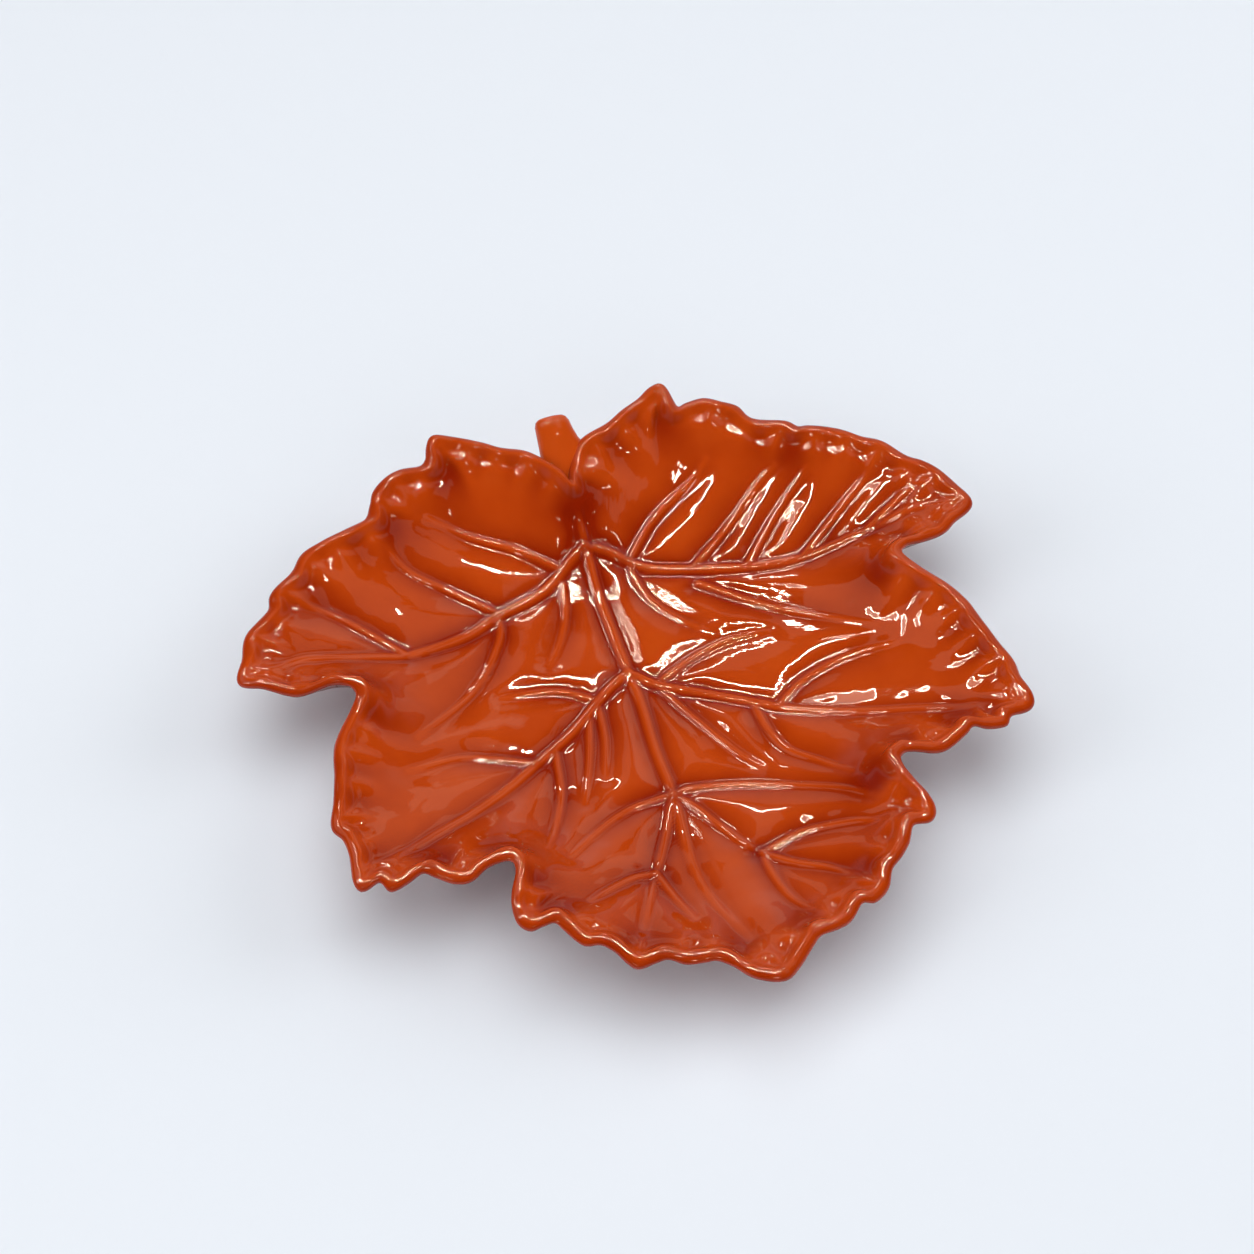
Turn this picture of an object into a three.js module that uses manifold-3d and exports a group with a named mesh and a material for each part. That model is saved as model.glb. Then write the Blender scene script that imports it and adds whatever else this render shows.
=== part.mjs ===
// Vine-leaf serving dish in glazed earthenware: a moulded leaf with a beaded, toothed rim and raised
// veins, a stalk set into the notch at the back, and a low ring underneath that it stands on.
// Millimetres, +Z up, the leaf's tip toward -Y, its stalk toward +Y.
import * as THREE from 'three';
import { mergeVertices } from 'three/addons/utils/BufferGeometryUtils.js';
import Module from 'manifold-3d';

const wasm = await Module();
wasm.setup();

// Sizes of the leaf, measured on the crest of its rim.
const leafWidth = 235.5;
const leafLength = 220;
const rimHeight = 31.5;
const beadRadius = 2.4;
const wallThickness = 4.5;
const floorClearance = 4.5;
const bowlRise = 18;

// The edge of the leaf: how far in from the rim its climb starts and the share of the rim's height that
// the climb makes up, how far in its upturned lip starts, and how softly the lip runs into the crest.
const climbReach = 46;
const climbShare = 0.85;
const lipReach = 8;
const crestRound = 1.4;

// Sizes of the veins: height of the crest over the blade, and half of the width at the blade.
const mainVein = { height: 2.4, halfWidth: 3.8 };
const sideVein = { height: 1.7, halfWidth: 3 };
const veinCrest = 0.7;
const veinRoot = 1.2;
const veinTipShare = 0.4;

// Sizes of the ring underneath.
const footRadius = 42;
const footWidth = 7;
const footChamfer = 1;

// Sizes of the stalk: how far its root reaches in under the notch and lies below the rim there, its run
// outward from the root, its climb over that run, and its section.
const stemRootReach = 3.5;
const stemRootDrop = 14.5;
const stemRun = 27.8;
const stemClimb = 19;
const stemWidth = 14.5;
const stemTipWidth = 12;
const stemThickness = 8.5;

// Gap left where one piece is seated on another.
const seatGap = 0.3;

// The rim as it is drawn on the mould maker's sheet, going round against the clock from the notch. Each
// point is x, y and its lift over the general height of the rim: teeth dip, the scallops between curl up.
const rimDrawing = {
  leftBasalLobe: [
    [-2, 50, 0.5], [-5, 53.5, 1.5], [-11, 60.5, 2], [-18.5, 63.5, 3], [-23.5, 67, 3.5],
    [-32, 71.5, 4.5], [-37, 72.5, 6], [-39, 70, 5], [-40.5, 66.5, 3], [-44, 64.5, 2],
    [-51, 64, 3], [-56.5, 61.5, 3], [-60, 58.5, 2.5], [-62, 54.5, 1.5], [-65.5, 49, 1],
  ],
  leftSideLobe: [
    [-73.5, 45.5, 2], [-81.5, 43, 2], [-88, 40.5, 1.5], [-92.5, 35, 1], [-100.5, 28.5, 1],
    [-103, 22.5, 0.5], [-111.5, 15, 0.5], [-114.5, 7, 0], [-117.5, 0.5, -1], [-112, -3, 0],
    [-105.5, -7.5, -0.5], [-101.5, -9.3, 0], [-93.5, -10, 2.5], [-89, -11.5, 3], [-86, -14, 3],
    [-85, -18, 2],
  ],
  leftLowerLobe: [
    [-88, -22.5, 0.5], [-95.5, -33, 0], [-98.5, -44.5, 0], [-101, -53, -0.5], [-103.5, -60, -1.5],
    [-101.5, -65, -1], [-101, -71.5, -1], [-102, -81.5, -2], [-96.5, -80.5, -1.5], [-94, -84, -2.5],
    [-90, -83.5, -1.5], [-84.5, -82, -0.5], [-80.5, -84, -1.5], [-76, -87, -2.5], [-72, -88, -2],
    [-67, -86, -0.5], [-61, -86, 0.5], [-57.5, -88, 0.5], [-57.4, -92.5, 0],
  ],
  tipLobe: [
    [-60.4, -98.3, -1.5], [-61.5, -102.5, -2.5], [-61.5, -106.5, -3], [-59.5, -108.5, -3.5],
    [-56.5, -108.5, -2.5], [-52.5, -109, -2], [-50, -112, -3], [-46.5, -117.5, -4], [-42, -119.5, -3],
    [-38.5, -123.5, -3], [-36.5, -127.5, -3.5], [-34.5, -129.5, -4], [-30, -129.5, -3],
    [-26, -130, -2.5], [-21.5, -132.5, -3.5], [-16.5, -134, -2.5], [-13, -135, -2], [-9, -138.5, -2],
    [-5, -144, -1.5], [1, -147.5, -0.5], [5.5, -145, -1], [11.5, -139.5, -1.5], [15.5, -136.5, -1.5],
    [21.5, -135.5, -2], [25.5, -134, -2.5], [30.5, -130, -1.5], [34.5, -130.5, -2], [39, -127.5, -2.5],
    [42, -122.5, -1.5], [46.5, -119, -1.5], [50, -115.5, -2], [54, -110, -1], [59.5, -110, -1.5],
    [61.5, -107.5, -1.5], [61, -103.5, -0.5], [59.3, -98.5, 0],
  ],
  rightLowerLobe: [
    [57.5, -92.5, 1], [58, -88.5, 1.5], [61.5, -86, 1], [66, -86.5, 0.5], [71, -88, -0.5],
    [75, -87.5, -1], [81, -85, 0], [85, -83, 0.5], [89.5, -84.5, -0.5], [94.5, -85, -1],
    [97, -82.5, -0.5], [103.5, -81.5, -1.5], [105, -78.5, -0.5], [104, -72, 0], [104.5, -66, 0],
    [103, -59, 0.5], [101.5, -50.5, 1], [100, -40.5, 1], [97, -33.5, 1.5], [90.5, -23, 2],
    [88, -15.5, 2],
  ],
  rightSideLobe: [
    [92, -11.5, 1.5], [98, -11, 1], [103.5, -9.8, 0], [107, -8.5, 0], [110.5, -6, 0],
    [118, -1.5, -0.5], [116.5, 4.5, 0.5], [113, 13, 1], [110, 17.5, 1], [106, 21, 1],
    [100, 29, 2], [94.5, 33, 2], [88.5, 38, 2.5], [80.5, 42, 2.5], [77, 43.5, 2],
    [73.5, 46.5, 2.5], [64, 52.5, 1],
  ],
  rightBasalLobe: [
    [60.5, 57.5, 3], [56, 60.5, 3.5], [51.5, 63.5, 3.5], [46, 63.5, 3], [42.5, 63, 3],
    [40.5, 66, 4.5], [39.5, 71.5, 6], [37, 72, 5.5], [32, 69, 4.5], [26, 66.5, 4],
    [20, 63.5, 3], [11, 61, 2], [7.5, 58.5, 1.5], [4, 52.5, 0.5], [1.2, 47.5, -0.5],
  ],
};

// Routes of the veins on the same sheet, from the thick end to the fading end.
const mainVeins = [
  [
    [0, 30], [-1, 15], [-1, 0], [-1, -17], [-1, -30], [-2.5, -48],
    [-3, -66], [-5, -81], [-7, -98], [-6, -112], [-2, -130],
  ],
  [[0, 30], [0.5, 37], [1, 43]],
  [
    [-1, 30], [-7, 26], [-18, 19], [-34, 14], [-45, 9],
    [-59, 5.5], [-69, 4], [-83, 4.5], [-99, 5], [-110, 1],
  ],
  [
    [-1, 30], [6, 27], [12, 22], [18, 18], [30, 14], [45, 9],
    [60, 5], [74, 3.5], [87, 3.5], [102, 4], [111, 1],
  ],
  [
    [-1, -17], [-7.5, -20.5], [-14, -25.5], [-26, -35], [-40, -44],
    [-53, -53], [-67, -61], [-82, -69], [-94, -77],
  ],
  [
    [-1, -17], [4, -22.5], [10, -27], [20, -33], [33, -41.5],
    [44, -49], [60, -58.5], [77, -67.5], [93, -77],
  ],
];
const sideVeins = [
  [[-3, -66], [-10, -67], [-17, -68], [-25, -71.5], [-33, -77], [-40, -83]],
  [[-3, -66], [4, -66], [17, -69.5], [31, -76.5], [43, -86], [52, -98]],
  [[-3, -66], [-7.5, -75.5], [-14, -88], [-18, -95], [-22, -103], [-29, -117]],
  [[-3, -66], [2, -74], [7, -85], [10, -92], [14, -98]],
  [[-10, 25], [-21, 34], [-34, 41.5], [-47, 50]],
  [[-34, 15], [-47, 25.5], [-58, 33.5], [-63, 43]],
  [[-67, 5], [-77, 14.5], [-87, 22], [-97, 26]],
  [[-34, 14], [-35.5, 7], [-39, 1], [-43.5, -5], [-51, -13], [-60, -20], [-72, -29]],
  [[-11, 20], [-13.5, 9], [-18, 0], [-24, -8]],
  [[12, 22], [21, 31], [30.5, 37.5], [40, 42], [47, 47]],
  [[31, 14], [39, 19], [46.5, 24], [59, 33], [67, 37]],
  [[48, 9], [58, 18.5], [66, 25], [76, 32]],
  [[66, 5], [76, 11.5], [87, 18.5], [96, 23]],
  [[87, 4], [100, 10], [108, 12]],
  [[12, 22], [12, 16], [14, 8], [18, 1], [23, -5], [28, -10]],
  [[31, 8], [40, 0], [51, -10], [63, -20], [76, -32]],
  [[6, -24], [20, -18], [32, -15.5], [45, -17]],
  [[39, -45], [48, -39.5], [59, -37], [68, -37.5], [79, -40.5]],
  [[6, -24], [10.5, -35], [14, -43], [21, -58], [26, -66]],
  [[32, -42], [32.5, -51.5], [35, -62], [42, -72], [48, -82]],
  [[-13, -25], [-23, -18.5], [-33, -16.5], [-42, -16.5]],
  [[-39, -43], [-50, -39], [-62, -37], [-78, -41]],
  [[-14, -26], [-16, -40], [-20.5, -54]],
  [[-18, -30], [-23, -46], [-29.5, -62]],
  [[-32, -40], [-35, -56], [-41, -70], [-46, -79]],
  [[-18, -95], [-25, -95], [-32.5, -98], [-40, -102]],
  [[-18, -95], [-16, -107], [-13.5, -117]],
  [[14, -98], [27, -95.5], [40, -99], [48, -104]],
  [[14, -98], [21, -106], [29, -113], [35, -121]],
  [[14, -98], [13.5, -107], [14.5, -118], [18, -127]],
];

const glazeColour = 0xbe3e16;
const clayColour = 0xd9c3a8;

// Share of the way from the pole to the rim at which each ring of the blade lies, and how many of the
// rim's points the ring skips over.
const bladeSteps = [
  [0.18, 8], [0.36, 4], [0.54, 4], [0.68, 2], [0.79, 2], [0.88, 2], [0.945, 2], [0.975, 2],
];
const undersideSteps = [[0.93, 2], [0.8, 2], [0.62, 4], [0.42, 4], [0.2, 8]];

// Section of the bead from inside to outside: steps outward and down from the crest, in bead radii.
const beadProfile = [[-0.5, 0.12], [0.1, 0], [0.8, 0.45], [1, 1.05], [0.5, 1.9]];
const beadFootStep = 0.4;

// Stations along the stalk: share of its run, and how full its section is there.
const stemStations = [[0, 1], [0.35, 1], [0.7, 1], [0.86, 0.94], [0.96, 0.72]];
const stemSides = 16;
const footSides = 48;

// Where the floor is lowest and where the ring stands; how sharply the floor turns up; how far the
// underside lags the top where the edge turns up; how widely the rim's teeth blend inward into the lip,
// and its lobes into the climb.
const bowlCentreY = -35;
const footCentreY = -30;
const bowlPower = 2.2;
const undersideLag = 2.5;
const toothBlend = 1.4;
const lobeBlend = 17;

// Shares of the two near and the two far drawn points in a rim point set between them.
const nearShare = 9 / 16;
const farShare = -1 / 16;

const drawnRim = Object.values(rimDrawing).flat();

function spanOf(values) {
  return Math.max(...values) - Math.min(...values);
}

const acrossScale = leafWidth / spanOf(drawnRim.map((point) => point[0]));
const alongScale = leafLength / spanOf(drawnRim.map((point) => point[1]));

function onLeaf(point) {
  return [point[0] * acrossScale, point[1] * alongScale];
}

// The crest of the rim: the drawn points, and one more between each two on a smooth closed curve.
function rimCrest() {
  const points = drawnRim.map((point) => new THREE.Vector3(...onLeaf(point), rimHeight + point[2]));
  const count = points.length;
  const crest = [];
  for (let i = 0; i < count; i += 1) {
    const [before, here, next, after] = [i - 1, i, i + 1, i + 2].map((k) => points[(k + count) % count]);
    const middle = here.clone().add(next).multiplyScalar(nearShare);
    middle.addScaledVector(before, farShare).addScaledVector(after, farShare);
    crest.push(here, middle);
  }
  return crest;
}

// Outward direction at each crest point, evened out over its neighbours so that it never folds.
function outwardDirections(crest) {
  const count = crest.length;
  const evenOver = 3;
  return crest.map((_, i) => {
    const behind = crest[(i - evenOver + count) % count];
    const ahead = crest[(i + evenOver) % count];
    return new THREE.Vector3(ahead.y - behind.y, behind.x - ahead.x, 0).normalize();
  });
}

const crest = rimCrest();
const outward = outwardDirections(crest);
const frontReach = bowlCentreY - Math.min(...crest.map((point) => point.y));
const backReach = Math.max(...crest.map((point) => point.y)) - bowlCentreY;

// Height of the plain dished floor, without its upturned edge.
function bowlHeight(x, y) {
  const along = y - bowlCentreY;
  const reach = along < 0 ? frontReach : backReach;
  const share = Math.hypot(x / (leafWidth / 2), along / reach);
  return floorClearance + wallThickness + bowlRise * share ** bowlPower;
}

// Distance to the rim, eased where two of its sides are about equally near.
function rimDistance(x, y) {
  let closeness = 0;
  crest.forEach((point, i) => {
    const next = crest[(i + 1) % crest.length];
    const step = Math.hypot(next.x - point.x, next.y - point.y);
    closeness += step / ((point.x - x) ** 2 + (point.y - y) ** 2) ** 2;
  });
  return Math.cbrt(Math.PI / 2 / closeness);
}

// How far the rim stands over the plain floor near a place, evened out over a width of it.
function rimLift(x, y, blend) {
  let weightSum = 0;
  let liftSum = 0;
  for (const point of crest) {
    const weight = 1 / ((point.x - x) ** 2 + (point.y - y) ** 2 + blend ** 2) ** 2;
    weightSum += weight;
    liftSum += weight * (point.z - bowlHeight(point.x, point.y));
  }
  return liftSum / weightSum;
}

function shareWithin(distance, reach) {
  return Math.max(0, 1 - distance / reach) ** 2;
}

// The floor with its climb and its lip; both start that much later, and the lip ends that much higher.
function edgedHeight(x, y, lag, extraLift) {
  const distance = Math.hypot(rimDistance(x, y) + lag, crestRound) - crestRound;
  const climb = climbShare * rimLift(x, y, lobeBlend);
  const lip = rimLift(x, y, toothBlend) + extraLift - climb;
  const rise = climb * shareWithin(distance, climbReach) + lip * shareWithin(distance, lipReach);
  return bowlHeight(x, y) + rise;
}

function bladeHeight(x, y) {
  return edgedHeight(x, y, 0, 0);
}

function undersideHeight(x, y) {
  return edgedHeight(x, y, undersideLag, wallThickness - 2 * beadRadius) - wallThickness;
}

// A closed skin over a run of rings; a ring may have twice as many points as the next, and a ring of
// one point closes an end.
function skin(rings) {
  const positions = [];
  const starts = [];
  for (const ring of rings) {
    starts.push(positions.length / 3);
    for (const point of ring) positions.push(point.x, point.y, point.z);
  }
  const faces = [];
  for (let k = 0; k + 1 < rings.length; k += 1) {
    const lengths = [rings[k].length, rings[k + 1].length];
    const count = Math.max(...lengths);
    const indexOf = (side, i) => starts[k + side] + Math.floor((i % count) * lengths[side] / count);
    for (let i = 0; i < count; i += 1) {
      const [a, b] = [indexOf(0, i), indexOf(0, i + 1)];
      const [c, d] = [indexOf(1, i), indexOf(1, i + 1)];
      if (c !== d) faces.push(a, c, d);
      if (a !== b) faces.push(a, d, b);
    }
  }
  const geometry = new THREE.BufferGeometry();
  geometry.setAttribute('position', new THREE.Float32BufferAttribute(positions, 3));
  geometry.setIndex(faces);
  return geometry;
}

function toSolid(geometry) {
  const bare = geometry.clone();
  bare.deleteAttribute('normal');
  bare.deleteAttribute('uv');
  const merged = mergeVertices(bare, 1e-4);
  const mesh = new wasm.Mesh({
    numProp: 3,
    vertProperties: new Float32Array(merged.attributes.position.array),
    triVerts: new Uint32Array(merged.index.array),
  });
  return new wasm.Manifold(mesh);
}

function toGeometry(solid) {
  const mesh = solid.getMesh();
  const geometry = new THREE.BufferGeometry();
  geometry.setAttribute('position', new THREE.Float32BufferAttribute(mesh.vertProperties, 3));
  geometry.setIndex(Array.from(mesh.triVerts));
  geometry.computeVertexNormals();
  return geometry;
}

// The blade from its middle, over the bead and back underneath; swell makes it that much fatter.
function bladeSolid(swell) {
  const beadFoot = crest.map((point, i) => point.clone().addScaledVector(outward[i], -beadRadius));
  const floorRing = ([share, skip], height, offset) => {
    const kept = beadFoot.filter((_, i) => i % skip === 0);
    return kept.map((point) => {
      const [x, y] = [point.x * share, point.y * share];
      return new THREE.Vector3(x, y, height(x, y) + offset);
    });
  };
  const beadRing = ([out, down]) => crest.map((point, i) => {
    const moved = point.clone().addScaledVector(outward[i], out * (beadRadius + swell));
    moved.z += swell - down * (beadRadius + swell);
    return moved;
  });
  const pole = (height, offset) => [new THREE.Vector3(0, 0, height(0, 0) + offset)];
  const rings = [
    pole(bladeHeight, swell),
    ...bladeSteps.map((step) => floorRing(step, bladeHeight, swell)),
    floorRing([1, 1], bladeHeight, swell - beadFootStep),
    ...beadProfile.map(beadRing),
    ...undersideSteps.map((step) => floorRing(step, undersideHeight, -swell)),
    pole(undersideHeight, -swell),
  ];
  return toSolid(skin(rings));
}

// A ridge with sloping flanks along a route on the blade, lower toward its fading end.
function veinSolid(route, size) {
  const points = route.map(onLeaf);
  const last = points.length - 1;
  const rings = points.map(([x, y], i) => {
    const [fromX, fromY] = points[Math.max(0, i - 1)];
    const [toX, toY] = points[Math.min(last, i + 1)];
    const length = Math.hypot(toX - fromX, toY - fromY);
    const [sideX, sideY] = [(toY - fromY) / length, (fromX - toX) / length];
    const share = 1 - (1 - veinTipShare) * i / last;
    const corner = (out, up) => {
      const [cornerX, cornerY] = [x + sideX * out, y + sideY * out];
      return new THREE.Vector3(cornerX, cornerY, bladeHeight(cornerX, cornerY) + up);
    };
    return [
      corner(-size.halfWidth, -veinRoot),
      corner(size.halfWidth, -veinRoot),
      corner(veinCrest, size.height * share),
      corner(-veinCrest, size.height * share),
    ];
  });
  const middleOf = (ring) => {
    const sum = ring.reduce((total, point) => total.add(point), new THREE.Vector3());
    return [sum.divideScalar(ring.length)];
  };
  return toSolid(skin([middleOf(rings[0]), ...rings, middleOf(rings[last])]));
}

function leafGeometry() {
  let solid = bladeSolid(0);
  for (const route of mainVeins) solid = solid.add(veinSolid(route, mainVein));
  for (const route of sideVeins) solid = solid.add(veinSolid(route, sideVein));
  return toGeometry(solid);
}

// A flattened bar that leaves the notch outward and upward and ends in a blunt round.
function stemGeometry(cutter) {
  const notch = crest[crest.length - 2];
  const root = new THREE.Vector3(notch.x, notch.y - stemRootReach, notch.z - stemRootDrop);
  const end = root.clone().add(new THREE.Vector3(0, stemRun, stemClimb));
  const along = end.clone().sub(root).normalize();
  const side = new THREE.Vector3(1, 0, 0).addScaledVector(along, -along.x).normalize();
  const up = new THREE.Vector3().crossVectors(side, along);
  const section = ([share, fullness]) => {
    const centre = root.clone().lerp(end, share);
    const halfWidth = fullness * THREE.MathUtils.lerp(stemWidth, stemTipWidth, share) / 2;
    const halfThickness = fullness * stemThickness / 2;
    return Array.from({ length: stemSides }, (_, i) => {
      const turn = 2 * Math.PI * i / stemSides;
      const point = centre.clone().addScaledVector(side, halfWidth * Math.cos(turn));
      return point.addScaledVector(up, halfThickness * Math.sin(turn));
    });
  };
  const rings = [[root], ...stemStations.map(section), [end]];
  return toGeometry(toSolid(skin(rings)).subtract(cutter));
}

// A ring with an eased standing edge, its top shaped to the underside of the leaf.
function footGeometry(cutter) {
  const [inner, outer] = [footRadius - footWidth, footRadius];
  const top = floorClearance + wallThickness;
  const profile = [
    [inner + footChamfer, 0], [outer - footChamfer, 0], [outer, footChamfer], [outer, top],
    [inner, top], [inner, footChamfer], [inner + footChamfer, 0],
  ];
  const outline = profile.map(([radius, height]) => new THREE.Vector2(radius, height));
  const ring = new THREE.LatheGeometry(outline, footSides);
  ring.rotateX(Math.PI / 2);
  ring.translate(0, footCentreY, 0);
  return toGeometry(toSolid(ring).subtract(cutter));
}

function piece(name, geometry, colour, roughness) {
  const material = new THREE.MeshStandardMaterial({ color: colour, roughness, metalness: 0 });
  const mesh = new THREE.Mesh(geometry, material);
  mesh.name = name;
  return mesh;
}

const cutter = bladeSolid(seatGap);
const group = new THREE.Group();
group.add(piece('leaf_dish', leafGeometry(), glazeColour, 0.12));
group.add(piece('stem_handle', stemGeometry(cutter), glazeColour, 0.12));
group.add(piece('foot_ring', footGeometry(cutter), clayColour, 0.6));

// The origin lies under the middle of the dish, on the table.
const box = new THREE.Box3().setFromObject(group);
const middle = box.getCenter(new THREE.Vector3());
group.position.set(-middle.x, -middle.y, -box.min.z);

export default group;
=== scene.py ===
import math
import bpy
import bmesh
import numpy as np
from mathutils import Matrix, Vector, noise


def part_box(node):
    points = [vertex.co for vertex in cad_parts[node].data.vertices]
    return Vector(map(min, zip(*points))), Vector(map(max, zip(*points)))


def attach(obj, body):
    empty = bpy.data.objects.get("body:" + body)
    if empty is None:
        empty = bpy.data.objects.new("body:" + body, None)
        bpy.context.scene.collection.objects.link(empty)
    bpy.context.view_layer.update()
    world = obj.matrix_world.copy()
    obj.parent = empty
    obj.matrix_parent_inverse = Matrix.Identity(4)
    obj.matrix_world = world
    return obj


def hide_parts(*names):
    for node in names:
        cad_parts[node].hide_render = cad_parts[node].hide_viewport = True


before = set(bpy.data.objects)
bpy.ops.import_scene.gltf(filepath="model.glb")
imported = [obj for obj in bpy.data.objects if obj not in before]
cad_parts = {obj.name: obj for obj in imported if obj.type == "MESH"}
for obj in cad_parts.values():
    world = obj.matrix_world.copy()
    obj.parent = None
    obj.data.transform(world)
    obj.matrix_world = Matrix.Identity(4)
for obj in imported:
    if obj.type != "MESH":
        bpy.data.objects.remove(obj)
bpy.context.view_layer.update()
print("frame loaded:", ", ".join(sorted(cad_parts)))

mmPerMetre = 1000
mergeWithin = 1e-6              # metres
tiny = 1e-6                     # keeps divisions away from zero
gridSlack = 1e-5                # rounding in a grid's coordinates


# sRGB hex code to linear red, green, blue and alpha
def linear(code):
    parts = [int(code[k:k + 2], 16) / 255 for k in (1, 3, 5)]
    return [*(p / 12.92 if p <= 0.04045 else ((p + 0.055) / 1.055) ** 2.4 for p in parts), 1]


# adds a node with its settings, fills or links its inputs, and places a ramp's stops
def addNode(tree, kind, inputs=None, stops=(), **settings):
    node = tree.nodes.new(kind)
    for name, value in settings.items():
        setattr(node, name, value)
    for name, value in (inputs or {}).items():
        if isinstance(value, bpy.types.NodeSocket):
            tree.links.new(value, node.inputs[name])
        else:
            node.inputs[name].default_value = value
    for k, (position, code) in enumerate(stops):
        elements = node.color_ramp.elements
        stop = elements[k] if k < len(elements) else elements.new(position)
        stop.position = position
        stop.color = linear(code)
    return node


def newMaterial(name):
    material = bpy.data.materials.new(name)
    material.use_nodes = True
    material.node_tree.nodes.clear()
    return material, material.node_tree


# closes the mesh, makes the piece from it and hides the frame part that it stands for
def finishPiece(bm, name, material, node):
    bmesh.ops.remove_doubles(bm, verts=bm.verts, dist=mergeWithin)
    bmesh.ops.recalc_face_normals(bm, faces=bm.faces)
    for face in bm.faces:
        face.smooth = True
    mesh = bpy.data.meshes.new(name)
    bm.to_mesh(mesh)
    bm.free()
    mesh.materials.append(material)
    piece = bpy.data.objects.new(name, mesh)
    bpy.context.scene.collection.objects.link(piece)
    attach(piece, "root")
    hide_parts(node)
    print(name, "made,", sum(len(p.vertices) - 2 for p in mesh.polygons), "triangles")


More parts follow.
